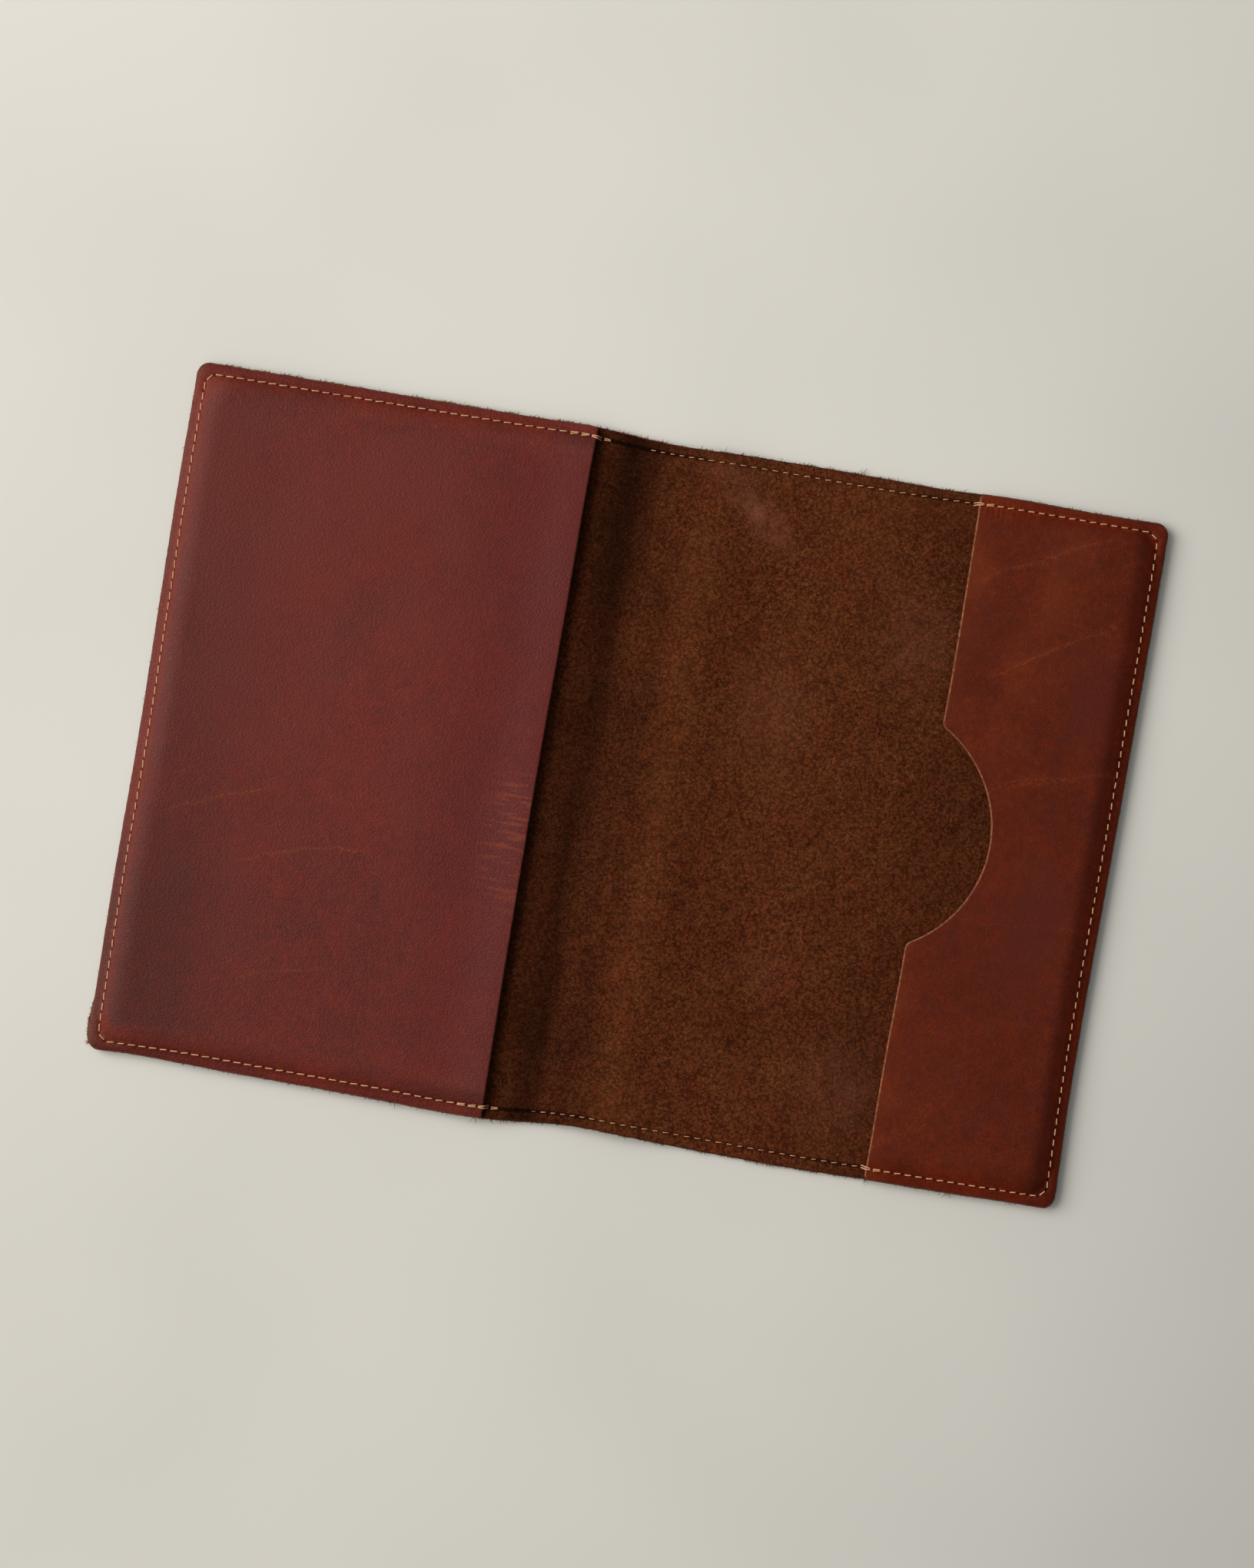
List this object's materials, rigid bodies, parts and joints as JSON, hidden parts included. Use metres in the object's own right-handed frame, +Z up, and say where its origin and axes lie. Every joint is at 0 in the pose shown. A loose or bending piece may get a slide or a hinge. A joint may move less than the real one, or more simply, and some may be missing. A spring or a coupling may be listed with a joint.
{
  "type": "leather passport wallet",
  "caption": "Open bifold passport wallet in unlined leather with a full pocket, a narrow pocket with a thumb notch, and a stitched edge.",
  "frame": {"origin": "centre of the open wallet's footprint, on the table", "axes": "+X across the open wallet from the front half to the back half, +Y along the spine, +Z up out of the pockets"},
  "size_m": [0.1986, 0.14, 0.0044],
  "materials": {
    "cover_leather": "suede inside, waxed grain outside",
    "front_pocket_leather": "waxed grain, reddish",
    "back_pocket_leather": "waxed grain, tan red",
    "thread": "waxed polyester thread"
  },
  "bodies": {
    "back_half": {"back_cover": "cover_leather", "back_pocket": "back_pocket_leather", "back_inner_thread": "thread", "back_outer_thread": "thread", "back_mouth_tacks": "thread"},
    "spine_bend": {"spine": "cover_leather", "spine_inner_thread": "thread", "spine_outer_thread": "thread"},
    "front_half": {"front_cover": "cover_leather", "front_pocket": "front_pocket_leather", "front_inner_thread": "thread", "front_outer_thread": "thread", "front_mouth_tacks": "thread"}
  },
  "joints": [
    {"name": "back_crease", "type": "hinge", "parent": "back_half", "child": "spine_bend", "pos_m": [0.005, 0, 0.0014], "axis": [0, 1, 0], "range_deg": [0, 90]},
    {"name": "front_crease", "type": "hinge", "parent": "spine_bend", "child": "front_half", "pos_m": [-0.005, 0, 0.0014], "axis": [0, 1, 0], "range_deg": [0, 90]}
  ]
}
